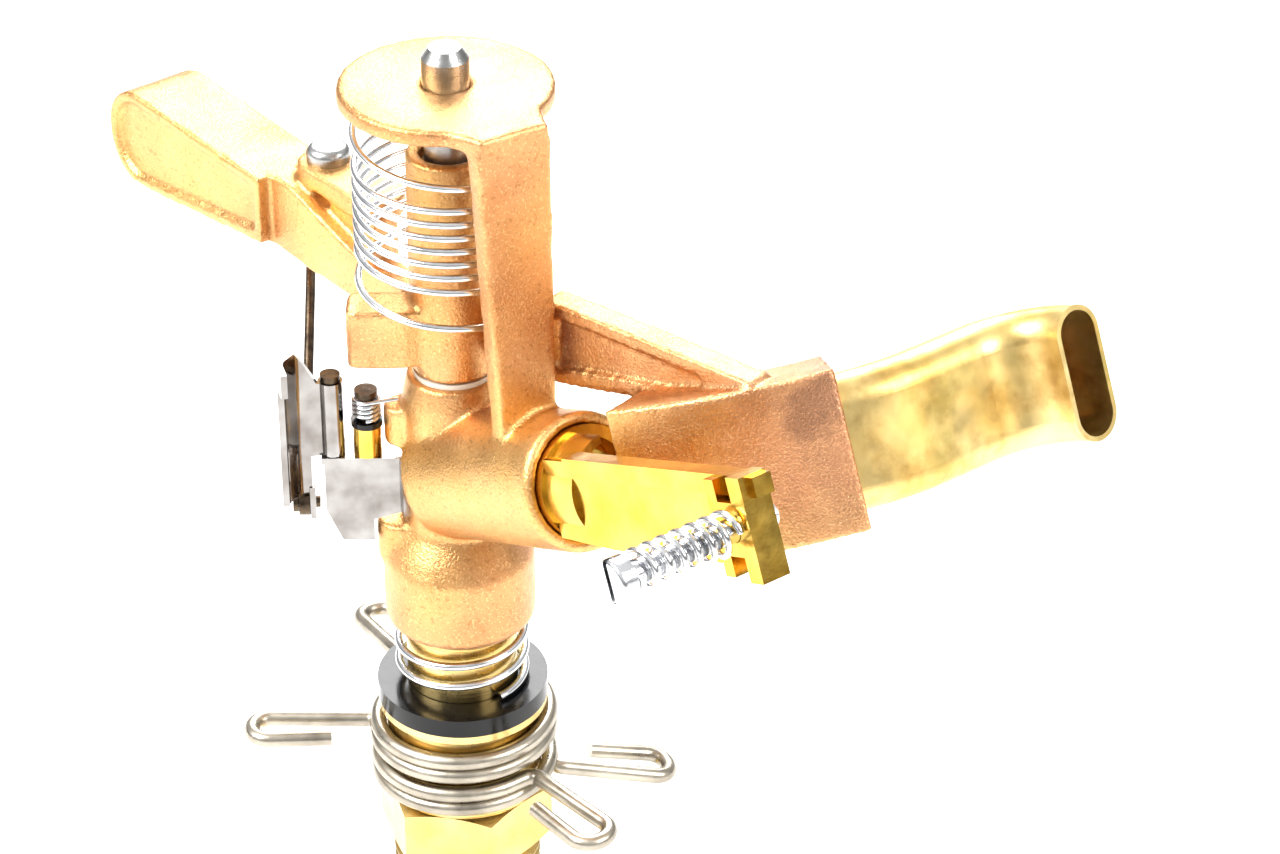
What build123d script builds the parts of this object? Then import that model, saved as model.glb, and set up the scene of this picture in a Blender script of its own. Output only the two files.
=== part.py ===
from build123d import *
from math import cos, pi, radians, sin, tan
import os

# An impact sprinkler head of cast bronze, in millimetres.
# +Z is the swivel axis, Z = 0 is the lower end of the pipe thread, and +X is the way the nozzle points.
# The inlet nipple stays still. The head turns on it, and the arm swings anticlockwise off the post.

# ---- driving dimensions -------------------------------------------------------------
THREAD_R = 10.6             # half inch taper pipe thread, mean crest radius
THREAD_DEPTH = 1.1
THREAD_PITCH = 1.814
THREAD_TOP = 15.0
HEX_ACROSS_FLATS = 22.2
HEX_TOP = 24.0
SEAT_R = 11.05              # the plain barrel that the wire collars grip
FLANGE_R = 12.1
FLANGE_BOTTOM = 38.0
NIPPLE_TOP = 39.2
NIPPLE_BORE_R = 8.3

TUBE_R = 7.85
TUBE_BORE_R = 6.2
WASHER_R = 12.2
WASHER_TOP = 42.0

BARREL_R = 10.65
BARREL_BOTTOM = 52.35
BARREL_TOP = 65.5
COLUMN_R = 7.2
COLUMN_TOP_R = 6.5
COLUMN_TOP = 92.5
WATERWAY_R = 5.4

JET_RISE = 23.0             # degrees above level
JET_ROOT = (0, 0, 76.55)    # where the nozzle's axis meets the swivel axis
BOSS_R = 9.5
BOSS_LENGTH = 32.4
PORT_R = 7.8

POST_AZIMUTH = -5.0
POST_THICK = 3.2
POST_LOW = (18.7, 87.0, 8.4)     # centre radius, height, width
POST_HIGH = (15.75, 134.0, 11.2)
CAP_R = 14.45
CAP_BOTTOM = 133.85
CAP_TOP = 136.25
PIN_R = 3.175
PIN_TOP = 141.35

HUB_R = 5.7
HUB_BORE_R = 3.8
HUB_BOTTOM = 93.3
HUB_TOP = 126.25
BUSH_BORE_R = 3.22

TRIP_AZIMUTH = 233.0
HINGE_RADIUS = 17.0         # the trip lever's pivot, out from the swivel axis
COIL_POST_RADIUS = 12.2     # the toggle spring's post
WIRE = 2.35                 # collar wire diameter
COLLAR_R = SEAT_R + 0.15 + WIRE / 2

jet_plane = Plane(
    origin=JET_ROOT,
    x_dir=(0, 1, 0),
    z_dir=(cos(radians(JET_RISE)), 0, sin(radians(JET_RISE))),
)


def finish(builder, name):
    """Label a finished piece and write it as its own STEP file."""
    builder.part.label = name
    export_step(builder.part, f"parts/{name}.step")


def ring(name, inner, outer, bottom, top, radius=0.0):
    """A washer, bush or seal about the swivel axis, or about the trip's axis at a radius."""
    with BuildPart() as washer:
        with BuildSketch(turned(TRIP_AZIMUTH, radius, bottom)):
            Circle(outer)
            Circle(inner, mode=Mode.SUBTRACT)
        extrude(amount=top - bottom)
    finish(washer, name)


def turned(azimuth, radius=0.0, height=0.0):
    """A level plane with x pointing out at an azimuth, its origin at that radius and height."""
    out = (cos(radians(azimuth)), sin(radians(azimuth)), 0)
    return Plane(origin=(radius * out[0], radius * out[1], height), x_dir=out, z_dir=(0, 0, 1))


def upright(azimuth, side=0.0):
    """A standing plane whose x points out at an azimuth and whose y is up, moved sideways from the axis."""
    out = Vector(cos(radians(azimuth)), sin(radians(azimuth)), 0)
    normal = Vector(sin(radians(azimuth)), -cos(radians(azimuth)), 0)
    return Plane(origin=normal * side, x_dir=out, z_dir=normal)


def start_of(path):
    """The plane square across the start of a path, for the section that is swept along it."""
    return Plane(origin=path.line @ 0, z_dir=path.line % 0)


os.makedirs("parts", exist_ok=True)

# ---- inlet: the still part ----------------------------------------------------------
thread_count = int((THREAD_TOP - 1.5) / THREAD_PITCH)
with BuildPart() as inlet_nipple:
    with BuildSketch(Plane.XZ):
        with BuildLine():
            profile = [(NIPPLE_BORE_R, 0), (THREAD_R - THREAD_DEPTH, 0)]
            for turn in range(thread_count):
                base = 0.6 + turn * THREAD_PITCH
                taper = (base - THREAD_TOP / 2) / 32
                root = THREAD_R - THREAD_DEPTH + taper
                profile += [
                    (root, base),
                    (THREAD_R + taper, base + THREAD_PITCH * 0.42),
                    (THREAD_R + taper, base + THREAD_PITCH * 0.52),
                    (root, base + THREAD_PITCH * 0.94),
                ]
            profile += [
                (THREAD_R - 0.4, THREAD_TOP),
                (SEAT_R, THREAD_TOP),
                (SEAT_R, FLANGE_BOTTOM),
                (FLANGE_R, FLANGE_BOTTOM),
                (FLANGE_R, NIPPLE_TOP),
                (NIPPLE_BORE_R, NIPPLE_TOP),
            ]
            Polyline(*profile, close=True)
        make_face()
    revolve(axis=Axis.Z)
    with BuildSketch(Plane.XY.offset(THREAD_TOP)):
        RegularPolygon(HEX_ACROSS_FLATS / 2, 6, major_radius=False, rotation=40.8)
        Circle(NIPPLE_BORE_R, mode=Mode.SUBTRACT)
    extrude(amount=HEX_TOP - THREAD_TOP)
    with BuildSketch(Plane.XZ):
        with BuildLine():
            corner_r = HEX_ACROSS_FLATS / 3**0.5
            Polyline(
                (corner_r + 1, HEX_TOP + 1),
                (HEX_ACROSS_FLATS / 2, HEX_TOP + 1),
                (HEX_ACROSS_FLATS / 2, HEX_TOP),
                (corner_r + 1, HEX_TOP - 1.3),
                close=True,
            )
        make_face()
    revolve(axis=Axis.Z, mode=Mode.SUBTRACT)
    with BuildSketch(Plane.XZ):
        with BuildLine():
            Polyline(
                (corner_r + 1, THREAD_TOP - 1),
                (HEX_ACROSS_FLATS / 2, THREAD_TOP - 1),
                (HEX_ACROSS_FLATS / 2, THREAD_TOP),
                (corner_r + 1, THREAD_TOP + 1.3),
                close=True,
            )
        make_face()
    revolve(axis=Axis.Z, mode=Mode.SUBTRACT)
finish(inlet_nipple, "inlet_nipple")

ring("top_bearing_washer", TUBE_R + 0.1, WASHER_R, NIPPLE_TOP, WASHER_TOP)
ring("seal_washer", TUBE_R + 0.1, 9.3, -1.2, 0)
ring("thrust_washer", TUBE_R + 0.1, 9.3, -2.0, -1.2)

# The head turns with this tube, whose foot carries the thrust of the water.
with BuildPart() as bearing_tube:
    with BuildSketch(Plane.XZ):
        with BuildLine():
            Polyline(
                (TUBE_BORE_R, -4.2),
                (9.2, -4.2),
                (9.2, -2.05),
                (TUBE_R, -2.05),
                (TUBE_R, BARREL_BOTTOM + 13),
                (TUBE_BORE_R, BARREL_BOTTOM + 13),
                close=True,
            )
        make_face()
    revolve(axis=Axis.Z)
    chamfer(bearing_tube.edges().group_by(Axis.Z)[0], 0.4)
finish(bearing_tube, "bearing_tube")

with BuildPart() as bearing_spring:
    spring_rise = BARREL_BOTTOM - WASHER_TOP - 1.4
    with BuildLine(Plane.XY.offset(WASHER_TOP + 0.7)) as path:
        Helix(pitch=spring_rise / 2.6, height=spring_rise, radius=9.0)
    with BuildSketch(start_of(path)):
        Circle(0.6)
    sweep(is_frenet=True)
finish(bearing_spring, "bearing_spring")


# ---- trip collars: wire rings squeezed by two hairpin tabs ---------------------------
COLLAR_PITCH = WIRE + 0.03
TAB_HALF_GAP = 2.85
TAB_SPREAD = 6.6            # degrees from a ring's end to the middle of its tab


def hairpin(start, leaving, azimuth, way, lift):
    """The bent tab that carries on from a ring's end, level at first and then tipped up by the lift."""
    out = turned(azimuth).x_dir.rotate(Axis((0, 0, 0), leaving), lift * way)
    with BuildLine(Plane(origin=start, x_dir=out, z_dir=out.cross(leaving))) as path:
        FilletPolyline(
            (0, 0),
            (0, 3.6),
            (18.2, 2 * TAB_HALF_GAP),
            (18.2, 0),
            (6.8, -0.6),
            radius=(1.7, 2.6, 2.6),
        )
    return path.edges()


def collar(name, top_tab, bottom_tab, bottom_height, top_lift, bottom_lift):
    """A wire ring of nearly two turns. Each end leaves along the ring and bends out into a hairpin."""
    start = bottom_tab + TAB_SPREAD
    end = top_tab - TAB_SPREAD + 720
    rise = COLLAR_PITCH * (end - start) / 360
    coil = turned(start, 0, bottom_height) * Helix(COLLAR_PITCH, rise, COLLAR_R)
    top_edges = hairpin(coil @ 1, coil % 1, end, 1, top_lift)
    bottom_edges = hairpin(coil @ 0, (coil % 0) * -1, start, -1, bottom_lift)
    path = Wire([coil] + top_edges + bottom_edges)
    with BuildPart() as wire:
        with BuildSketch(Plane(origin=path @ 0, z_dir=path % 0)):
            Circle(WIRE / 2)
        sweep(path=path)
    finish(wire, name)


LOWER_COLLAR_Z = HEX_TOP + 0.15 + WIRE / 2
UPPER_COLLAR_Z = LOWER_COLLAR_Z + COLLAR_PITCH * 1.81 + WIRE + 0.15
collar("upper_trip_collar", 172, 231, UPPER_COLLAR_Z, 6, 0)
collar("lower_trip_collar", 4, 62, LOWER_COLLAR_Z, 0, 14)

# ---- head: the body casting ---------------------------------------------------------
post_low = turned(POST_AZIMUTH, POST_LOW[0], POST_LOW[1])
post_high = turned(POST_AZIMUTH, POST_HIGH[0], POST_HIGH[1])
with BuildPart() as body_casting:
    with BuildSketch(Plane.XZ):
        with BuildLine():
            Polyline(
                (0, BARREL_BOTTOM),
                (BARREL_R - 1, BARREL_BOTTOM),
                (BARREL_R, BARREL_BOTTOM + 1.2),
                (BARREL_R, BARREL_TOP - 2.2),
                (BARREL_R - 1.2, BARREL_TOP),
                (COLUMN_R, BARREL_TOP + 3.2),
                (COLUMN_R, COLUMN_TOP - 3),
                (COLUMN_TOP_R, COLUMN_TOP),
                (0, COLUMN_TOP),
                close=True,
            )
        make_face()
    revolve(axis=Axis.Z)
    with BuildSketch(jet_plane):
        Circle(BOSS_R)
    extrude(amount=BOSS_LENGTH)
    fillet(body_casting.edges().group_by(Axis.X)[-1].sort_by(SortBy.LENGTH)[-1], 0.8)
    with BuildSketch(post_low):
        Rectangle(POST_THICK, POST_LOW[2])
    with BuildSketch(post_high):
        Rectangle(POST_THICK, POST_HIGH[2])
    loft()
    with BuildSketch(Plane.XY.offset(CAP_BOTTOM)):
        Circle(CAP_R)
    extrude(amount=CAP_TOP - CAP_BOTTOM)
    with BuildSketch(turned(POST_AZIMUTH, 0, CAP_BOTTOM)):
        with BuildLine():
            Polyline(
                (4, -7.6),
                (12.0, -7.6),
                (15.6, -5.6),
                (17.3, -5.1),
                (17.3, 5.1),
                (15.6, 5.6),
                (13.2, 6.6),
                (4, 6.6),
                close=True,
            )
        make_face()
    extrude(amount=CAP_TOP - CAP_BOTTOM)
    # upper and lower lugs on the trip's side
    with BuildSketch(turned(TRIP_AZIMUTH, 0, 81.4)):
        with Locations((4.7, 0)):
            SlotOverall(10.4, 5.6)
    extrude(amount=6.0)
    with BuildSketch(turned(TRIP_AZIMUTH, 0, 62.5)):
        with Locations((5, 0)):
            SlotOverall(12.6, 7.0)
    extrude(amount=6.4)
    # waterway, port and the fulcrum pin's seat
    with BuildSketch(Plane.XZ):
        with BuildLine():
            Polyline(
                (0, BARREL_BOTTOM),
                (TUBE_R, BARREL_BOTTOM),
                (TUBE_R, BARREL_BOTTOM + 13.5),
                (WATERWAY_R, BARREL_BOTTOM + 15.5),
                (WATERWAY_R, 79.0),
                (0, 81.5),
                close=True,
            )
        make_face()
    revolve(axis=Axis.Z, mode=Mode.SUBTRACT)
    with BuildSketch(jet_plane):
        Circle(WATERWAY_R - 0.8)
    extrude(amount=BOSS_LENGTH, mode=Mode.SUBTRACT)
    with BuildSketch(jet_plane.offset(BOSS_LENGTH - 13)):
        Circle(PORT_R)
    extrude(amount=13, mode=Mode.SUBTRACT)
    with BuildSketch(Plane.XY.offset(CAP_BOTTOM - 2)):
        Circle(PIN_R)
    extrude(amount=6, mode=Mode.SUBTRACT)
    with BuildSketch(Plane.XY.offset(COLUMN_TOP - 8)):
        Circle(PIN_R)
    extrude(amount=9, mode=Mode.SUBTRACT)
finish(body_casting, "body_casting")

with BuildPart() as fulcrum_pin:
    with BuildSketch(Plane.XY.offset(COLUMN_TOP - 8)):
        Circle(PIN_R)
    extrude(amount=PIN_TOP - COLUMN_TOP + 8)
    chamfer(fulcrum_pin.faces().sort_by(Axis.Z)[-1].edges(), 1.5, 1.0)
finish(fulcrum_pin, "fulcrum_pin")

ring("hub_washer", PIN_R + 0.05, 5.6, COLUMN_TOP, COLUMN_TOP + 0.7)

# ---- nozzle group -------------------------------------------------------------------
with BuildPart() as nozzle_washer:
    with BuildSketch(jet_plane.offset(BOSS_LENGTH - 13)):
        Circle(PORT_R - 0.2)
        Circle(4.2, mode=Mode.SUBTRACT)
    extrude(amount=1.2)
finish(nozzle_washer, "nozzle_washer")

NOZZLE_START = BOSS_LENGTH - 11.8
with BuildPart() as nozzle:
    with BuildSketch(jet_plane.offset(NOZZLE_START)):
        Circle(PORT_R - 1.7)
    extrude(amount=9.0)
    with BuildSketch(jet_plane.offset(NOZZLE_START + 9.0)):
        Circle(4.4)
    extrude(amount=4.6)
    chamfer(nozzle.faces().sort_by(Axis.X)[-1].edges(), 0.6)
    with BuildSketch(jet_plane.offset(NOZZLE_START)):
        Circle(4.2)
    with BuildSketch(jet_plane.offset(NOZZLE_START + 11)):
        Circle(2.2)
    loft(mode=Mode.SUBTRACT)
    with BuildSketch(jet_plane.offset(NOZZLE_START + 11)):
        Circle(2.2)
    extrude(amount=4, mode=Mode.SUBTRACT)
finish(nozzle, "nozzle")

# The bracket's root is a sleeve in the port. Its lower right side runs on as a plate beside the jet.
BRACKET_SIDE = -5.2
ROOT_END = BOSS_LENGTH + 7.4
TAB_START = 73.9
TAB_END = 81.4
SCREW_AT = 77.6             # how far along the jet the diffuser screw stands
with BuildPart() as nozzle_bracket:
    with BuildSketch(jet_plane.offset(NOZZLE_START)):
        Circle(PORT_R - 0.05)
        Circle(PORT_R - 1.65, mode=Mode.SUBTRACT)
    extrude(amount=BOSS_LENGTH - NOZZLE_START + 1.0)
    with BuildSketch(jet_plane.offset(BOSS_LENGTH)):
        Circle(PORT_R - 0.5)
        Circle(PORT_R - 1.65, mode=Mode.SUBTRACT)
        with Locations((9.2, 0)):
            Rectangle(20, 40, mode=Mode.SUBTRACT)
    extrude(amount=ROOT_END - BOSS_LENGTH)
    side_plane = Plane(
        origin=jet_plane.origin + jet_plane.x_dir * BRACKET_SIDE,
        x_dir=jet_plane.z_dir,
        z_dir=(0, -1, 0),
    )
    with BuildSketch(side_plane):
        with BuildLine():
            Polyline(
                (BOSS_LENGTH + 1.2, -5.4),
                (BOSS_LENGTH + 1.2, 5.4),
                (TAB_START, 5.9),
                (TAB_END, 5.9),
                (TAB_END, -5.9),
                (ROOT_END + 6, -6.2),
                close=True,
            )
        make_face()
    extrude(amount=1.3)
    with BuildSketch(side_plane):
        with Locations(((ROOT_END + TAB_END) / 2 + 1, 5.2)):
            Rectangle(TAB_END - ROOT_END, 2.6)
    extrude(amount=2.8)
    with BuildSketch(side_plane):
        with Locations((TAB_START + 1.0, 0)):
            Rectangle(2.0, 12.6)
        with Locations((TAB_END - 1.3, 0)):
            Rectangle(2.6, 13.6)
        with Locations(((TAB_START + TAB_END) / 2, 0)):
            Rectangle(TAB_END - TAB_START, 7.0)
    extrude(amount=4.2)
    with Locations(Plane(origin=side_plane.origin + side_plane.x_dir * SCREW_AT, z_dir=(0, -1, 0))):
        Hole(1.7)
finish(nozzle_bracket, "nozzle_bracket")

# The diffuser screw stands square to the bracket and is turned in towards the jet.
screw_origin = side_plane.origin + side_plane.x_dir * SCREW_AT
screw_plane = Plane(origin=screw_origin, x_dir=jet_plane.z_dir, z_dir=(0, -1, 0))
SCREW_TIP = -2.6
SCREW_HEAD = 20.6
with BuildPart() as diffuser_screw:
    with BuildSketch(screw_plane.offset(SCREW_TIP)):
        Circle(1.62)
    extrude(amount=SCREW_HEAD - SCREW_TIP)
    chamfer(diffuser_screw.faces().sort_by(Axis.Y)[-1].edges(), 0.7)
    with BuildSketch(screw_plane.offset(SCREW_HEAD)):
        Circle(2.9)
    extrude(amount=2.4)
    fillet(diffuser_screw.faces().sort_by(Axis.Y)[0].edges(), 0.6)
    with BuildSketch(screw_plane.offset(SCREW_HEAD + 2.4)):
        Rectangle(0.8, 7)
    extrude(amount=-1.2, mode=Mode.SUBTRACT)
finish(diffuser_screw, "diffuser_screw")

DIFFUSER_COILS = 7
spring_start = 4.2 + 0.55
spring_rise = SCREW_HEAD - spring_start - 0.55
diffuser_coil = screw_plane.offset(spring_start) * Helix(spring_rise / DIFFUSER_COILS, spring_rise, 2.55)
with BuildPart() as diffuser_spring:
    with BuildSketch(Plane(origin=diffuser_coil @ 0, z_dir=diffuser_coil % 0)):
        Circle(0.45)
    sweep(path=diffuser_coil, is_frenet=True)
finish(diffuser_spring, "diffuser_spring")

# ---- arm ----------------------------------------------------------------------------
TAIL_AZIMUTH = 182.0
BRANCH_AZIMUTH = 10.0
ANVIL_AZIMUTH = 232.0
WEIGHT_HALF = 6.0           # half the counterweight's thickness
NECK_SIDES = (-3.9, 0.6)    # the tail's neck, from the post side to the far side
BRANCH_NEAR = 0.72          # the branch's face that rests beside the post
BRANCH_THICK = 4.2
RECESS = 0.9

# The deflector lies in the plane of the jet, so it moves the water sideways and keeps its rise.
DEFLECTOR_TURN = radians(31.3)
deflector = Plane(
    origin=jet_plane.origin + jet_plane.z_dir * 64.95 + jet_plane.x_dir * 16.98,
    x_dir=jet_plane.z_dir * cos(DEFLECTOR_TURN) + jet_plane.x_dir * sin(DEFLECTOR_TURN),
    z_dir=jet_plane.y_dir,
)
CHANNEL_R = 40.2
CHANNEL_HALF_WIDTH = 5.0
CHANNEL_HALF_HEIGHT = 10.9
CHANNEL_WALL = 1.5
TUBE_MIDDLE = 4.7           # the tube's centre line, in from the channel's outer face
TUBE_LEAVES = 30.0          # degrees the channel has turned where the tube starts
TUBE_HEIGHT = 18.4
TUBE_WIDTH = 7.5
TUBE_WALL = 0.7
TUBE_DEPTH = 4.0            # how far the tube is sunk in the channel
channel_centre = (
    -CHANNEL_R * sin(radians(TUBE_LEAVES)),
    TUBE_MIDDLE + CHANNEL_R * cos(radians(TUBE_LEAVES)),
)


def channel_strip(first, last, inner, outer):
    """The plan of a stretch of the curved channel, between two angles and two radii."""
    with BuildSketch() as strip:
        with Locations(channel_centre):
            Circle(outer)
            Circle(inner, mode=Mode.SUBTRACT)
        with BuildLine():
            ends = [
                (
                    channel_centre[0] + 2 * outer * cos(radians(angle)),
                    channel_centre[1] + 2 * outer * sin(radians(angle)),
                )
                for angle in (first, last)
            ]
            Polyline(channel_centre, ends[0], ends[1], close=True)
        make_face(mode=Mode.INTERSECT)
    return strip.sketch


def tail_outline(inset=0.0):
    """The counterweight's side view, in distance out and height, drawn in by an inset."""
    with BuildSketch() as outline:
        with BuildLine():
            Polyline(
                (36.5 + inset, 98.6 + inset),
                (74.6 - inset, 94.4 + inset),
                (74.6 - inset, 110.4 - inset),
                (36.5 + inset, 108.8 - inset),
                close=True,
            )
        make_face()
        fillet(outline.vertices().group_by(Axis.X)[-1], 7.2 - inset)
    return outline.sketch


with BuildPart() as arm_casting:
    with BuildSketch(Plane.XY.offset(HUB_BOTTOM)):
        Circle(HUB_R)
    extrude(amount=HUB_TOP - HUB_BOTTOM)
    # anvil beside the trip lever
    with BuildSketch(turned(ANVIL_AZIMUTH, 0, 95.4)) as anvil:
        with BuildLine():
            Polyline((0, -1.2), (14.2, -1.2), (14.2, 5.0), (6.5, 5.0), (0, 3.5), close=True)
        make_face()
        fillet(anvil.vertices().group_by(Axis.X)[-1], 1.4)
    extrude(amount=8.7)
    # tail: neck and counterweight
    with BuildSketch(upright(TAIL_AZIMUTH, NECK_SIDES[0])):
        with BuildLine():
            Polyline(
                (2, 97.2),
                (2, 104.0),
                (13.8, 104.0),
                (20, 105.4),
                (32, 109.0),
                (40, 109.0),
                (40, 98.2),
                (26, 97.4),
                close=True,
            )
        make_face()
    extrude(amount=NECK_SIDES[1] - NECK_SIDES[0])
    with BuildSketch(upright(TAIL_AZIMUTH, -WEIGHT_HALF)):
        add(tail_outline())
    extrude(amount=2 * WEIGHT_HALF)
    for side in (-WEIGHT_HALF, WEIGHT_HALF - RECESS):
        with BuildSketch(upright(TAIL_AZIMUTH, side)):
            add(tail_outline(1.6))
        extrude(amount=RECESS, mode=Mode.SUBTRACT)
    # ear that carries the bright screw
    with BuildSketch(turned(TAIL_AZIMUTH, 0, 108.8)):
        with Locations((25.0, -1.9)):
            SlotOverall(19.8, 8.0)
    extrude(amount=3.0)
    with BuildSketch(turned(TAIL_AZIMUTH, 0, 100.0)):
        with Locations((20.5, -0.6)):
            Rectangle(10.5, 4.4)
    extrude(amount=9.2)
    # front branch, an I section
    with BuildSketch(upright(BRANCH_AZIMUTH, -BRANCH_NEAR - BRANCH_THICK)):
        with BuildLine():
            Polyline(
                (2, 96.8),
                (2, 104.0),
                (13.6, 104.0),
                (16.0, 109.2),
                (22, 109.6),
                (52, 110.8),
                (52, 104.5),
                (31, 100.4),
                (19, 97.4),
                close=True,
            )
        make_face()
    extrude(amount=BRANCH_THICK)
    for side in (-BRANCH_NEAR - BRANCH_THICK, -BRANCH_NEAR - 1.1):
        with BuildSketch(upright(BRANCH_AZIMUTH, side)):
            with BuildLine():
                FilletPolyline(
                    (18, 99.6), (18, 107.4), (44, 108.4), (44, 105.6), (30, 102.6), radius=0.8, close=True
                )
            make_face()
        extrude(amount=1.1, mode=Mode.SUBTRACT)
    # deflector channel: an outer wall with a roof and a floor, closed round the tube at its end
    with BuildSketch(deflector.offset(-CHANNEL_HALF_HEIGHT)):
        add(channel_strip(-100, -60, CHANNEL_R - CHANNEL_HALF_WIDTH, CHANNEL_R + CHANNEL_HALF_WIDTH))
    extrude(amount=2 * CHANNEL_HALF_HEIGHT)
    with BuildSketch(deflector.offset(-CHANNEL_HALF_HEIGHT + CHANNEL_WALL)):
        add(channel_strip(-112, -73, CHANNEL_R - 12, CHANNEL_R + CHANNEL_HALF_WIDTH - CHANNEL_WALL))
    extrude(amount=2 * (CHANNEL_HALF_HEIGHT - CHANNEL_WALL), mode=Mode.SUBTRACT)
    socket_end = deflector.from_local_coords((0, TUBE_MIDDLE, 0))
    leaving = deflector.from_local_coords((cos(radians(TUBE_LEAVES)), TUBE_MIDDLE + sin(radians(TUBE_LEAVES)), 0))
    socket_plane = Plane(origin=socket_end, x_dir=deflector.z_dir, z_dir=leaving - socket_end)
    with BuildSketch(socket_plane.offset(-TUBE_DEPTH)):
        SlotOverall(TUBE_HEIGHT + 0.04, TUBE_WIDTH + 0.04)
    extrude(amount=TUBE_DEPTH + 4, mode=Mode.SUBTRACT)
    with BuildSketch(socket_plane.offset(-11)):
        SlotOverall(TUBE_HEIGHT - 2 * TUBE_WALL, TUBE_WIDTH - 2 * TUBE_WALL)
    extrude(amount=11, mode=Mode.SUBTRACT)
    with BuildSketch(Plane.XY.offset(HUB_BOTTOM)):
        Circle(HUB_BORE_R)
    extrude(amount=HUB_TOP - HUB_BOTTOM, mode=Mode.SUBTRACT)
finish(arm_casting, "arm_casting")

ring("arm_lower_bush", BUSH_BORE_R, HUB_BORE_R, HUB_BOTTOM, HUB_BOTTOM + 9)
ring("arm_upper_bush", BUSH_BORE_R, HUB_BORE_R, HUB_TOP - 11, HUB_TOP - 1.8)

with BuildPart() as jet_tube:
    with BuildLine(deflector) as path:
        tube_start = (
            -TUBE_DEPTH * cos(radians(TUBE_LEAVES)),
            TUBE_MIDDLE - TUBE_DEPTH * sin(radians(TUBE_LEAVES)),
        )
        inside = PolarLine(tube_start, TUBE_DEPTH + 2, TUBE_LEAVES)
        left_bend = JernArc(inside @ 1, inside % 1, 18, 29)
        middle = Line(left_bend @ 1, (left_bend @ 1) + (left_bend % 1) * 9)
        right_bend = JernArc(middle @ 1, middle % 1, 10, -87)
        Line(right_bend @ 1, (right_bend @ 1) + (right_bend % 1) * 1.5)
    with BuildSketch(Plane(origin=path.line @ 0, x_dir=deflector.z_dir, z_dir=path.line % 0)):
        SlotOverall(TUBE_HEIGHT, TUBE_WIDTH)
        SlotOverall(TUBE_HEIGHT - 2 * TUBE_WALL, TUBE_WIDTH - 2 * TUBE_WALL, mode=Mode.SUBTRACT)
    sweep()
finish(jet_tube, "jet_tube")

with BuildPart() as ear_screw:
    ear_plane = turned(TAIL_AZIMUTH)
    with BuildSketch(ear_plane.offset(111.8)):
        with Locations((30.8, -2.3)):
            Circle(3.1)
    extrude(amount=2.2)
    fillet(ear_screw.faces().sort_by(Axis.Z)[-1].edges(), 1.2)
finish(ear_screw, "ear_screw")

SPRING_WIRE = 1.0
SPRING_R = 12.5
SPRING_LOW = 105.4
spring_rise = CAP_BOTTOM - 0.7 - SPRING_LOW
arm_coil = turned(250, 0, SPRING_LOW) * Helix(spring_rise / 9, spring_rise, SPRING_R)
with BuildPart() as arm_spring:
    with BuildSketch(Plane(origin=arm_coil @ 0, z_dir=arm_coil % 0)):
        Circle(SPRING_WIRE / 2)
    sweep(path=arm_coil, is_frenet=True)
finish(arm_spring, "arm_spring")

# ---- trip: bracket, post and spring on the head -------------------------------------
PLATE_BOTTOM = 78.4
PLATE_TOP = 79.4
HINGE_R = 0.9
COIL_POST_R = 1.05
with BuildPart() as trip_bracket:
    with BuildSketch(turned(TRIP_AZIMUTH, 0, PLATE_BOTTOM)):
        with Locations((13.2, -0.8)):
            Rectangle(10.8, 5.2)
    extrude(amount=PLATE_TOP - PLATE_BOTTOM)
    with BuildSketch(upright(TRIP_AZIMUTH, -1.8)):
        with BuildLine():
            Polyline(
                (7.5, PLATE_BOTTOM),
                (18.2, PLATE_BOTTOM),
                (18.2, 71.0),
                (16.0, 66.0),
                (11.6, 66.0),
                (11.6, 69.4),
                (7.5, 70.6),
                close=True,
            )
        make_face()
    extrude(amount=1.0)
    with BuildSketch(turned(TRIP_AZIMUTH, 0, 66.0)):
        with Locations((13.8, -0.2)):
            Rectangle(4.4, 4.0)
    extrude(amount=1.0)
    # saddle that hugs the column
    with BuildSketch(Plane.XY.offset(70.6)):
        Circle(COLUMN_R + 0.9)
        Circle(COLUMN_R, mode=Mode.SUBTRACT)
        with BuildLine():
            ends = [
                (20 * cos(radians(azimuth)), 20 * sin(radians(azimuth)))
                for azimuth in (214, 257)
            ]
            Polyline((0, 0), ends[0], ends[1], close=True)
        make_face(mode=Mode.INTERSECT)
    extrude(amount=PLATE_TOP - 70.6)
    with BuildSketch(turned(TRIP_AZIMUTH, HINGE_RADIUS, PLATE_BOTTOM)):
        Circle(HINGE_R)
    extrude(amount=2, mode=Mode.SUBTRACT)
finish(trip_bracket, "trip_bracket")

with BuildPart() as coil_post:
    with BuildSketch(turned(TRIP_AZIMUTH, COIL_POST_RADIUS, PLATE_TOP)):
        Circle(COIL_POST_R)
    extrude(amount=9.2)
    with BuildSketch(turned(TRIP_AZIMUTH, COIL_POST_RADIUS, PLATE_TOP + 9.2)):
        Circle(1.6)
    extrude(amount=0.9)
finish(coil_post, "coil_post")
ring("coil_post_bush", COIL_POST_R, 1.95, PLATE_TOP, PLATE_TOP + 4.6, COIL_POST_RADIUS)
ring("coil_post_washer", COIL_POST_R, 2.2, PLATE_TOP + 4.65, PLATE_TOP + 5.5, COIL_POST_RADIUS)

toggle_coil = turned(TRIP_AZIMUTH + 90, 0, PLATE_TOP + 5.9) * Helix(0.72, 2.9, 1.75)
toggle_coil = Location(turned(TRIP_AZIMUTH, COIL_POST_RADIUS).origin) * toggle_coil
toggle_leg = Line(toggle_coil @ 1, (toggle_coil @ 1) + (toggle_coil % 1) * 4.2)
with BuildPart() as toggle_spring:
    toggle_path = Wire([toggle_coil, toggle_leg])
    with BuildSketch(Plane(origin=toggle_path @ 0, z_dir=toggle_path % 0)):
        Circle(0.3)
    sweep(path=toggle_path)
finish(toggle_spring, "toggle_spring")

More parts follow.
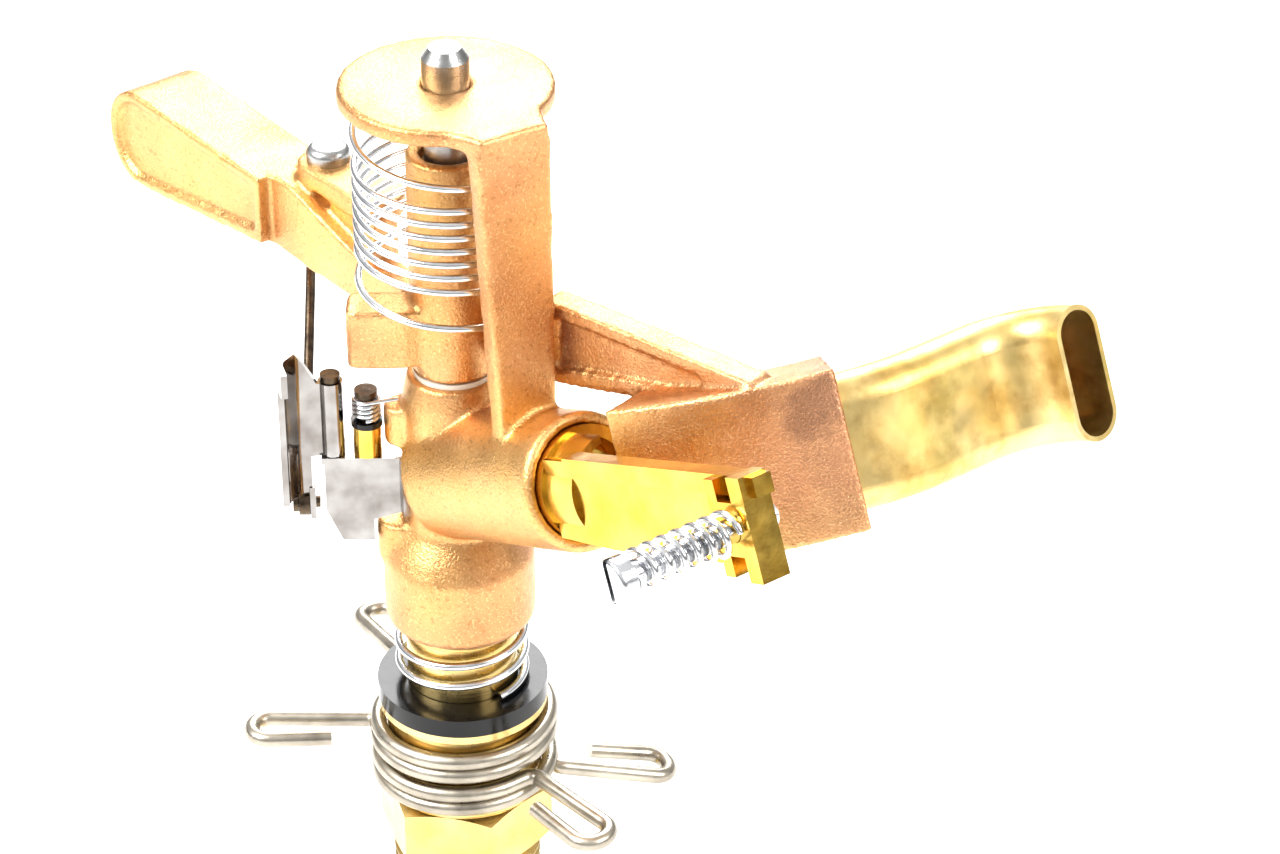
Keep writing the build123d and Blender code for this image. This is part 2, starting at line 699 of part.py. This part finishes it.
with BuildPart() as trip_hinge_pin:
    with BuildSketch(turned(TRIP_AZIMUTH, HINGE_RADIUS, PLATE_BOTTOM)):
        Circle(HINGE_R)
    extrude(amount=13.6)
    with BuildSketch(turned(TRIP_AZIMUTH, HINGE_RADIUS, PLATE_TOP + 11.7)):
        Circle(1.4)
    extrude(amount=0.9)
finish(trip_hinge_pin, "trip_hinge_pin")

# ---- trip: the lever and its folding pin --------------------------------------------
LEVER_BOTTOM = 73.75
LEVER_TOP = 96.4
RIVET_HEIGHT = 71.3
with BuildPart() as trip_lever:
    with BuildSketch(turned(TRIP_AZIMUTH, HINGE_RADIUS, LEVER_BOTTOM)):
        with BuildLine():
            FilletPolyline((1.2, 0.5), (4.6, 1.2), (6.6, 4.4), (5.6, 8.0), radius=2.2)
        trace(line_width=0.9)
    extrude(amount=LEVER_TOP - LEVER_BOTTOM)
    # the sheet is cut back under the knuckle and under the tab, and its top slopes
    with BuildSketch(turned(TRIP_AZIMUTH, HINGE_RADIUS, LEVER_BOTTOM)):
        Rectangle(6.0, 8.0)
    extrude(amount=PLATE_TOP + 0.1 - LEVER_BOTTOM, mode=Mode.SUBTRACT)
    with BuildSketch(turned(TRIP_AZIMUTH, HINGE_RADIUS, LEVER_BOTTOM)):
        with Locations((6.0, 8.0)):
            Rectangle(8.0, 6.0)
    extrude(amount=92.8 - LEVER_BOTTOM, mode=Mode.SUBTRACT)
    with BuildSketch(upright(TRIP_AZIMUTH, -4.0)):
        with BuildLine():
            Polyline((15, 91.0), (18.8, 91.0), (22.0, 97), (15, 97), close=True)
        make_face()
    extrude(amount=8, mode=Mode.SUBTRACT)
    with BuildSketch(turned(TRIP_AZIMUTH, HINGE_RADIUS, PLATE_TOP + 0.1)):
        Circle(1.7)
    extrude(amount=11.5)
    with BuildSketch(turned(TRIP_AZIMUTH, HINGE_RADIUS, PLATE_TOP)):
        Circle(HINGE_R + 0.08)
    extrude(amount=14, mode=Mode.SUBTRACT)
    # lower ear for the rivet
    with BuildSketch(turned(TRIP_AZIMUTH, HINGE_RADIUS, 69.5)):
        with Locations((3.0, 0.2)):
            Rectangle(0.8, 2.8)
    extrude(amount=5.0)
    rivet_plane = Plane(
        origin=turned(TRIP_AZIMUTH, HINGE_RADIUS + 2.4, RIVET_HEIGHT).origin,
        x_dir=turned(TRIP_AZIMUTH).y_dir,
        z_dir=turned(TRIP_AZIMUTH).x_dir,
    )
    with BuildSketch(rivet_plane):
        Circle(0.8)
    extrude(amount=2, mode=Mode.SUBTRACT)
finish(trip_lever, "trip_lever")

with BuildPart() as trip_rivet:
    with BuildSketch(rivet_plane.offset(-0.3)):
        Circle(0.8)
    extrude(amount=3.4)
    with BuildSketch(rivet_plane.offset(2.75)):
        Circle(1.45)
    extrude(amount=0.7)
finish(trip_rivet, "trip_rivet")

# The pin is drawn folded up beside the arm, where it misses the collars' tabs.
PIN_WIRE_R = 0.72
PIN_LENGTH = 42.1
FOLDED_ANGLE = 147.0
with BuildPart() as trip_pin:
    with BuildSketch(rivet_plane.offset(1.1)):
        Circle(1.9)
    extrude(amount=1.5)
    pin_plane = rivet_plane.offset(1.85)
    pin_direction = pin_plane.x_dir.rotate(Axis((0, 0, 0), pin_plane.z_dir), FOLDED_ANGLE)
    with BuildSketch(Plane(origin=pin_plane.origin + pin_direction * 1.4, z_dir=pin_direction)):
        Circle(PIN_WIRE_R)
    extrude(amount=PIN_LENGTH - 1.4)
    chamfer(trip_pin.faces().sort_by(Axis(pin_plane.origin, pin_direction))[-1].edges(), 0.3)
    with BuildSketch(rivet_plane):
        Circle(0.88)
    extrude(amount=4, mode=Mode.SUBTRACT)
finish(trip_pin, "trip_pin")
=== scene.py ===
# %% [markdown]
# # An impact sprinkler in cast bronze
# This script dresses a finished CAD model. The CAD parts arrive as fixed meshes, in metres, already
# in place. Two castings and two springs are remade with softer or truer shapes. Every other part keeps
# its CAD mesh and gets a better finish. The first cell loads the parts and keeps their box.

# %% Load the parts
from math import pi

import bpy
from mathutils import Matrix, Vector


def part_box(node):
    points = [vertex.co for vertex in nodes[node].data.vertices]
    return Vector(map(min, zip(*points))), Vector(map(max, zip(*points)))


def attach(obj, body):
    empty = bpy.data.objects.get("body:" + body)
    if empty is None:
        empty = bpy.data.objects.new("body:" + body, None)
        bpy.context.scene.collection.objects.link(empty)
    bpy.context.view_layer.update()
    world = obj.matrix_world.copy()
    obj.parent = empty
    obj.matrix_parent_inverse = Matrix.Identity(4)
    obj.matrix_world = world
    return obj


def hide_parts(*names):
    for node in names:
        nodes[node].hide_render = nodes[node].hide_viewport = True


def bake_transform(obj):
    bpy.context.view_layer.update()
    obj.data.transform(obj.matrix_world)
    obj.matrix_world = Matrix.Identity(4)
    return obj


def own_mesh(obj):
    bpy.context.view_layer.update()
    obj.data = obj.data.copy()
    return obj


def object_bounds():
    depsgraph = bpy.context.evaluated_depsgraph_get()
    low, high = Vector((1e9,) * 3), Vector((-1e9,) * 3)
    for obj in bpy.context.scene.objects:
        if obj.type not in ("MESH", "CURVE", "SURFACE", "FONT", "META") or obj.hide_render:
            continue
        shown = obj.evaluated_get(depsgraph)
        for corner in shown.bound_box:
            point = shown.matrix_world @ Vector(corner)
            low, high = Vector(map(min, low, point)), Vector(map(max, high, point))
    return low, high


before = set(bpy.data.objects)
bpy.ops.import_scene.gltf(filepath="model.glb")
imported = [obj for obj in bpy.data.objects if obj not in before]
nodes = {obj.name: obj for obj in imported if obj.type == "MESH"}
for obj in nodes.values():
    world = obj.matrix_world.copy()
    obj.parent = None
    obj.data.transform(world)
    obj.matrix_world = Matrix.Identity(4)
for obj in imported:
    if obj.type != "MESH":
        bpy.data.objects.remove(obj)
cad_low, cad_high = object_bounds()
MM = 0.001
print(len(nodes), "parts, from", [round(v, 4) for v in cad_low])
print("to", [round(v, 4) for v in cad_high])

# %% [markdown]
# ## Camera
# A long lens far away keeps the proportions honest. The camera stands to the front right, about 32
# degrees up, and looks at a point a little in front of the swivel axis.

# %% Camera
bpy.ops.object.camera_add(location=(0.3762, -0.2617, 0.3656))
camera = bpy.context.object
camera.name = "camera"
look_at = Vector((0.01564, 0.02002, 0.08325))
camera.rotation_euler = (look_at - camera.location).to_track_quat("-Z", "Y").to_euler()
camera.data.lens = 109.7
camera.data.sensor_width = 36
camera.data.clip_start = 0.01
bpy.context.scene.camera = camera
print("camera is", round((camera.location - look_at).length, 3), "m away")

# %% [markdown]
# ## Floor and light
# Bronze and brass show what surrounds them, so the room matters more than the lamps. The world is pale
# above and greyer near the horizon, which gives the wires and the polished bracket dark edges to
# reflect. Three large soft lamps make the highlights, and a white floor fills the shadows from below.

# %% Floor
bpy.ops.mesh.primitive_plane_add(size=8, location=(0, 0, cad_low.z))
floor = bpy.context.object
floor.name = "floor"


# %% World and lamps
def add(tree, kind, settings=None, links=None):
    """Add a shader node, set its values and sockets, and link sockets into it."""
    made = tree.nodes.new(kind)
    for key, value in (settings or {}).items():
        if isinstance(key, str) and hasattr(made, key):
            setattr(made, key, value)
        else:
            made.inputs[key].default_value = value
    for key, socket in (links or {}).items():
        tree.links.new(socket, made.inputs[key])
    return made


def ramp(tree, socket, stops):
    """Turn a value into a colour through stops of position and linear colour."""
    made = add(tree, "ShaderNodeValToRGB", links={"Fac": socket})
    while len(made.color_ramp.elements) < len(stops):
        made.color_ramp.elements.new(0.5)
    for element, (position, colour) in zip(made.color_ramp.elements, stops):
        element.position = position
        element.color = colour
    return made.outputs["Color"]


def grey(value):
    return (value, value, value, 1)


world = bpy.data.worlds.new("studio")
bpy.context.scene.world = world
world.use_nodes = True
sky = world.node_tree
sky.nodes.clear()
direction = add(sky, "ShaderNodeTexCoord").outputs["Generated"]
height = add(sky, "ShaderNodeSeparateXYZ", links={0: direction}).outputs["Z"]
zero_to_one = {"operation": "MULTIPLY_ADD", 1: 0.5, 2: 0.5}
raised = add(sky, "ShaderNodeMath", zero_to_one, {0: height}).outputs[0]
SKY_GREYS = [(0.0, 0.8), (0.48, 0.5), (0.56, 0.2), (0.72, 0.8), (1.0, 1.0)]
glow = ramp(sky, raised, [(position, grey(value)) for position, value in SKY_GREYS])
backdrop = add(sky, "ShaderNodeBackground", {"Strength": 1.0}, {"Color": glow})
add(sky, "ShaderNodeOutputWorld", links={"Surface": backdrop.outputs[0]})

LAMP_TARGET = Vector((0, 0, 0.08))
lamps = [
    ("key", (-0.25, -0.75, 0.9), 0.7, 22.0),
    ("fill", (0.9, 0.35, 0.75), 0.6, 12.0),
    ("back", (-0.7, 0.6, 0.8), 0.7, 16.0),
]
for name, place, size, power in lamps:
    bpy.ops.object.light_add(type="AREA", location=place)
    lamp = bpy.context.object
    lamp.name = name + "_lamp"
    lamp.data.size = size
    lamp.data.energy = power
    lamp.rotation_euler = (LAMP_TARGET - lamp.location).to_track_quat("-Z", "Y").to_euler()
print(len(lamps), "lamps")

# A plain view transform keeps the bright metal yellow and lets the floor reach white.
bpy.context.scene.view_settings.view_transform = "Standard"

# %% [markdown]
# ## Finishes
# Most of the object is copper alloy or steel, so one function makes every metal from a dark and a
# light colour, the size of its patches, its roughness, and the depth of its grain. Colours are sRGB
# hex values, which are turned to the linear numbers that the shader wants. Grain sizes are real sizes
# in millimetres.


# %% Metal
def linear(hex_colour):
    """An sRGB hex colour as linear red, green, blue and alpha."""
    parts = [int(hex_colour[i : i + 2], 16) / 255 for i in (1, 3, 5)]
    return tuple(p / 12.92 if p <= 0.04045 else ((p + 0.055) / 1.055) ** 2.4 for p in parts) + (1,)


def start_material(name):
    """A new material with a Principled shader, and the object's own coordinates to draw on."""
    made = bpy.data.materials.new(name)
    made.use_nodes = True
    tree = made.node_tree
    place = add(tree, "ShaderNodeTexCoord").outputs["Object"]
    return made, tree, tree.nodes["Principled BSDF"], place


def noise(tree, place, size_mm, detail=3.0, roughness=0.55, stretch=(1, 1, 1)):
    """A noise whose blobs are about size_mm across, stretched by dividing its scale along an axis."""
    scaled = add(
        tree,
        "ShaderNodeMapping",
        {"Scale": tuple(1 / (size_mm * MM * s) for s in stretch)},
        {"Vector": place},
    )
    settings = {"Scale": 1.0, "Detail": detail, "Roughness": roughness}
    return add(tree, "ShaderNodeTexNoise", settings, {"Vector": scaled.outputs[0]}).outputs["Fac"]


def spread(tree, socket, low, high, start=0.3, end=0.7):
    """Stretch a noise's middle range over low to high."""
    made = add(
        tree,
        "ShaderNodeMapRange",
        {"From Min": start, "From Max": end, "To Min": low, "To Max": high},
        {"Value": socket},
    )
    return made.outputs["Result"]


def mixed(tree, factor, first, second, blend="MIX"):
    """Mix two colours, each a socket or a linear colour."""
    made = add(tree, "ShaderNodeMix", {"data_type": "RGBA", "blend_type": blend}, {0: factor})
    for index, colour in ((6, first), (7, second)):
        if isinstance(colour, tuple):
            made.inputs[index].default_value = colour
        else:
            tree.links.new(colour, made.inputs[index])
    return made.outputs[2]


def metal(name, dark, light, patch_mm, rough, grain_mm, depth_mm, stretch=(1, 1, 1)):
    """A metal with patches between two colours, uneven gloss and a grain of a real size and depth."""
    made, tree, shader, place = start_material(name)
    patches = spread(tree, noise(tree, place, patch_mm), 0, 1)
    colour = mixed(tree, patches, linear(dark), linear(light))
    grain = noise(tree, place, grain_mm, 2.0, 0.6, stretch)
    tree.links.new(colour, shader.inputs["Base Color"])
    gloss = spread(tree, noise(tree, place, patch_mm * 0.4), rough[0], rough[1])
    tree.links.new(gloss, shader.inputs["Roughness"])
    bump = add(tree, "ShaderNodeBump", {"Strength": 1.0, "Distance": depth_mm * MM}, {"Height": grain})
    tree.links.new(bump.outputs[0], shader.inputs["Normal"])
    shader.inputs["Metallic"].default_value = 1.0
    return made, tree, shader, place, colour


# %% [markdown]
# ### Sand-cast bronze
# Molten bronze takes the print of the sand it was poured in: a grain of about a third of a millimetre,
# with pits. Broad golden areas run over the coppery ones. The arm has the same skin, and heat from
# soldering the tube in has left a dark brown patch near the end of its channel.


# %% Sand-cast bronze
def sand_cast(name):
    """Coppery bronze with sand grain, golden patches, small dark pits and tiny painted glints of
    light.
    """
    made, tree, shader, place, colour = metal(name, "#B27A50", "#DFAB76", 16, (0.32, 0.46), 0.36, 0.12)
    golden = spread(tree, noise(tree, place, 34, 2.0), 0, 0.75, 0.42, 0.62)
    colour = mixed(tree, golden, colour, linear("#DCAE68"))
    pits = spread(tree, noise(tree, place, 0.6, 1.0), 0, 0.35, 0.58, 0.72)
    colour = mixed(tree, pits, colour, linear("#7C4A1E"))
    # Tiny pale specks mixed into the colour are painted glints of light.
    painted_glints = spread(tree, noise(tree, place, 0.32, 0.0), 0, 0.4, 0.62, 0.72)
    colour = mixed(tree, painted_glints, colour, linear("#F0C890"))
    tree.links.new(colour, shader.inputs["Base Color"])
    return made, tree, shader, place, colour


cast_bronze = sand_cast("sand_cast_bronze")[0]
arm_bronze, tree, shader, place, colour = sand_cast("heat_stained_bronze")
stain_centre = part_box("jet_tube")[0] + Vector((6.2, -0.2, 16.5)) * MM
distance = add(
    tree, "ShaderNodeVectorMath", {"operation": "DISTANCE", 1: tuple(stain_centre)}, {0: place}
).outputs["Value"]
wobble = add(
    tree,
    "ShaderNodeMath",
    {"operation": "MULTIPLY_ADD", 1: 9 * MM},
    {0: noise(tree, place, 4, 3.0), 2: distance},
).outputs[0]
near = spread(tree, wobble, 0.85, 0, 7.5 * MM, 10 * MM)
colour = mixed(tree, near, colour, linear("#5C4A38"))
blush = spread(tree, wobble, 0.55, 0, 12 * MM, 30 * MM)
colour = mixed(tree, blush, colour, linear("#CB9270"))
tree.links.new(colour, shader.inputs["Base Color"])

# %% [markdown]
# ### Brass
# The nozzle and its bracket are polished, the nipple and the bearing tube are turned on a lathe and
# keep fine rings, and the arm's tube is drawn brass that has tarnished in brown and greenish
# clouds.

# %% Brass
polished_brass = metal("polished_brass", "#CF9C2E", "#E6C05E", 9, (0.14, 0.26), 1.6, 0.03)[0]
LATHE_RINGS = (20, 20, 0.3)
turned_brass = metal("turned_brass", "#CDAA60", "#EAD294", 12, (0.2, 0.32), 0.8, 0.03, LATHE_RINGS)[0]
drawn_brass, tree, shader, place, colour = metal(
    "drawn_brass", "#D9B568", "#F1DA9A", 11, (0.3, 0.46), 2.2, 0.04, (1.0, 1.0, 3.0)
)
tarnish = spread(tree, noise(tree, place, 7, 5.0, 0.6), 0, 0.6, 0.5, 0.66)
colour = mixed(tree, tarnish, colour, linear("#B08440"))
green = spread(tree, noise(tree, place, 13, 3.0), 0, 0.35, 0.55, 0.68)
colour = mixed(tree, green, colour, linear("#A9A155"))
tree.links.new(colour, shader.inputs["Base Color"])

# %% [markdown]
# ### Steel
# Spring wire is bright and smooth. The collars are a duller, yellower wire. The fulcrum pin is turned,
# the trip sheet is pressed and bright, and its rivets are dark with old oil.

# %% Steel
spring_steel = metal("drawn_stainless_wire", "#B9BABC", "#EDEEF0", 6, (0.12, 0.22), 0.5, 0.006)[0]
collar_steel = metal("dull_drawn_wire", "#8F877A", "#BDB5A6", 7, (0.26, 0.4), 0.5, 0.02)[0]
pin_steel = metal("turned_steel", "#8B8B89", "#BFBFBD", 5, (0.24, 0.38), 0.5, 0.03)[0]
sheet_steel = metal("pressed_stainless_sheet", "#7C7672", "#A8A5A2", 5, (0.08, 0.2), 1.2, 0.02)[0]
dark_steel = metal("oiled_steel", "#2C2520", "#6A5A48", 3, (0.25, 0.45), 0.6, 0.03)[0]


# %% [markdown]
# ### Plastic and rubber
# The wide washer under the bearing spring is glossy black plastic with faint moulding waves. The
# seals are matt rubber, and the thrust washers and bushes are pale moulded plastic.


# %% Plastic and rubber
def moulded(name, dark, light, rough, grain_mm, depth_mm):
    """A plastic or rubber with a faint mottle, uneven gloss and a moulded surface."""
    made, tree, shader, _, _ = metal(name, dark, light, 5, rough, grain_mm, depth_mm)
    shader.inputs["Metallic"].default_value = 0.0
    return made, shader


black_plastic, shader = moulded("glossy_black_acetal", "#050506", "#0C0C0E", (0.12, 0.22), 3.0, 0.03)
shader.inputs["Specular IOR Level"].default_value = 0.3
pale_plastic = moulded("moulded_nylon", "#CFC9BA", "#E4DFD2", (0.4, 0.55), 0.8, 0.02)[0]
rubber = moulded("moulded_rubber", "#101010", "#1E1D1C", (0.55, 0.75), 0.6, 0.03)[0]
floor_paint = moulded("matt_white_paint", "#F4F4F3", "#F8F8F7", (0.75, 0.85), 40, 0.02)[0]
floor.data.materials.append(floor_paint)

# %% [markdown]
# ## Give the CAD parts their finishes
# A CAD part whose shape is right keeps its mesh. Only its material slots change.

# %% Assign finishes
finishes = {
    "inlet_nipple": turned_brass,
    "bearing_tube": turned_brass,
    "top_bearing_washer": black_plastic,
    "seal_washer": rubber,
    "nozzle_washer": rubber,
    "thrust_washer": pale_plastic,
    "hub_washer": pale_plastic,
    "arm_lower_bush": pale_plastic,
    "arm_upper_bush": pale_plastic,
    "fulcrum_pin": pin_steel,
    "ear_screw": pin_steel,
    "nozzle": polished_brass,
    "nozzle_bracket": polished_brass,
    "coil_post_bush": polished_brass,
    "jet_tube": drawn_brass,
    "diffuser_screw": spring_steel,
    "bearing_spring": spring_steel,
    "toggle_spring": spring_steel,
    "trip_bracket": sheet_steel,
    "trip_lever": sheet_steel,
    "coil_post": dark_steel,
    "coil_post_washer": black_plastic,
    "trip_hinge_pin": dark_steel,
    "trip_rivet": dark_steel,
    "trip_pin": dark_steel,
    "upper_trip_collar": collar_steel,
    "lower_trip_collar": collar_steel,
}


def dress(piece, finish):
    """Replace a piece's materials with one finish."""
    piece.data.materials.clear()
    piece.data.materials.append(finish)


for name, finish in finishes.items():
    dress(nodes[name], finish)
print(len(finishes), "parts finished")


# %% [markdown]
# ## Castings
# CAD edges are sharp, but a casting has no sharp edge: sand can't hold one, and every inner corner
# is filled in. Bevels fail where a round boss meets a flat post, so each casting is copied, merged,
# and remade on a fine grid of voxels. A few rounds of smoothing then melt the edges, and a slow
# wave of a tenth of a millimetre gives the unevenness of a hand-made mould.


# %% Make the castings
def select_only(piece):
    """Make one piece selected and active."""
    bpy.ops.object.select_all(action="DESELECT")
    piece.select_set(True)
    bpy.context.view_layer.objects.active = piece


def apply_all(piece):
    """Apply a piece's modifiers in order."""
    select_only(piece)
    for modifier in list(piece.modifiers):
        bpy.ops.object.modifier_apply(modifier=modifier.name)


def merged_copy(node, name):
    """A copy of a CAD part's mesh with its loose triangles joined up."""
    piece = bpy.data.objects.new(name, nodes[node].data.copy())
    bpy.context.collection.objects.link(piece)
    select_only(piece)
    bpy.ops.object.mode_set(mode="EDIT")
    bpy.ops.mesh.select_all(action="SELECT")
    bpy.ops.mesh.remove_doubles(threshold=0.002 * MM)
    bpy.ops.object.mode_set(mode="OBJECT")
    return piece


wave = bpy.data.textures.new("mould_wave", type="CLOUDS")
wave.noise_scale = 5 * MM
wave.noise_depth = 2


def cast(node, name, body, finish, voxel_mm, rounds):
    """Remake a CAD part as a casting with melted edges."""
    piece = merged_copy(node, name)
    grid = piece.modifiers.new("grid", "REMESH")
    grid.mode = "VOXEL"
    grid.voxel_size = voxel_mm * MM
    melt = piece.modifiers.new("melt", "SMOOTH")
    melt.factor = 0.5
    melt.iterations = rounds
    uneven = piece.modifiers.new("uneven", "DISPLACE")
    uneven.texture = wave
    uneven.strength = 0.16 * MM
    uneven.mid_level = 0.5
    apply_all(piece)
    bpy.ops.object.shade_smooth()
    dress(piece, finish)
    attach(piece, body)
    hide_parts(node)
    print(name, len(piece.data.polygons), "faces")
    return piece


cast("body_casting", "cast_body", "head", cast_bronze, 0.4, 14)
cast("arm_casting", "cast_arm", "arm", arm_bronze, 0.4, 5)


# %% [markdown]
# ## Springs
# The arm's return spring has one open turn at each end and close turns between them, wound loosely
# round the hub. A circle the size of the wire is spun up into an even coil by a Screw modifier.
# Each ring of points is then shifted up or down as a whole, so the pitch changes and the wire stays
# round. The spring's top is held by the cap and its foot by the arm.


# %% Arm spring
def height_at(heights, turn):
    """The height at a turn, on straight lines between turn and height pairs."""
    turn = min(max(turn, heights[0][0]), heights[-1][0])
    for (t0, h0), (t1, h1) in zip(heights, heights[1:]):
        if turn <= t1:
            return h0 + (h1 - h0) * (turn - t0) / (t1 - t0)
    return heights[-1][1]


def smooth_height(heights, turn):
    """The same height averaged over a third of a turn, so the pitch changes without a kink."""
    return sum(height_at(heights, turn + step / 30) for step in range(-5, 6)) / 11


def coil(name, wire_r, radius, turns, steps, heights, finish, hand=1):
    """A coil about the Z axis through turn and height pairs. A hand of -1 winds it left-handed."""
    sides = 12
    bpy.ops.object.select_all(action="DESELECT")
    bpy.ops.mesh.primitive_circle_add(
        vertices=sides,
        radius=wire_r,
        fill_type="NGON",
        location=(radius, 0, 0),
        rotation=(pi / 2, 0, 0),
    )
    piece = bpy.context.object
    piece.name = name
    bpy.ops.object.transform_apply(location=True, rotation=True, scale=True)
    low, high = heights[0][1], heights[-1][1]
    screw = piece.modifiers.new("screw", "SCREW")
    screw.angle = 2 * pi * hand
    screw.screw_offset = (high - low) / turns
    screw.iterations = turns
    screw.steps = steps
    screw.render_steps = steps
    apply_all(piece)
    rings = turns * steps
    for index, vertex in enumerate(piece.data.vertices):
        ring = min(index // sides, rings)
        turn = ring / steps
        even = (high - low) * turn / turns
        vertex.co.z += smooth_height(heights, turn) - even
    bpy.ops.object.mode_set(mode="EDIT")
    bpy.ops.mesh.select_all(action="SELECT")
    bpy.ops.mesh.normals_make_consistent(inside=False)
    bpy.ops.object.mode_set(mode="OBJECT")
    bpy.ops.object.shade_smooth()
    dress(piece, finish)
    return piece


spring_low, spring_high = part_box("arm_spring")
WIRE_R = 0.5 * MM
COIL_R = (spring_high.x - spring_low.x) / 2 - WIRE_R
TURNS = 9
STEPS_PER_TURN = 48
foot = spring_low.z + WIRE_R
top = spring_high.z - WIRE_R
turn_heights = [
    (0, foot),
    (0.12, foot + 0.9 * MM),
    (1.11, foot + 6.4 * MM),
    (7.11, top - 9.5 * MM),
    (8.11, top - 6.4 * MM),
    (8.65, top - 0.3 * MM),
    (TURNS, top),
]
arm_coil = coil(
    "arm_return_spring", WIRE_R, COIL_R, TURNS, STEPS_PER_TURN, turn_heights, spring_steel, hand=-1
)
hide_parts("arm_spring")
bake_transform(arm_coil)
print("spring", len(arm_coil.data.polygons), "faces")

# %% [markdown]
# The little spring on the diffuser screw shortens when the screw is turned in. It is a copy of the CAD
# spring.

# %% Diffuser spring
diffuser_coil = merged_copy("diffuser_spring", "diffuser_return_spring")
dress(diffuser_coil, spring_steel)
bpy.ops.object.shade_smooth()
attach(diffuser_coil, "head")
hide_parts("diffuser_spring")
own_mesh(diffuser_coil)
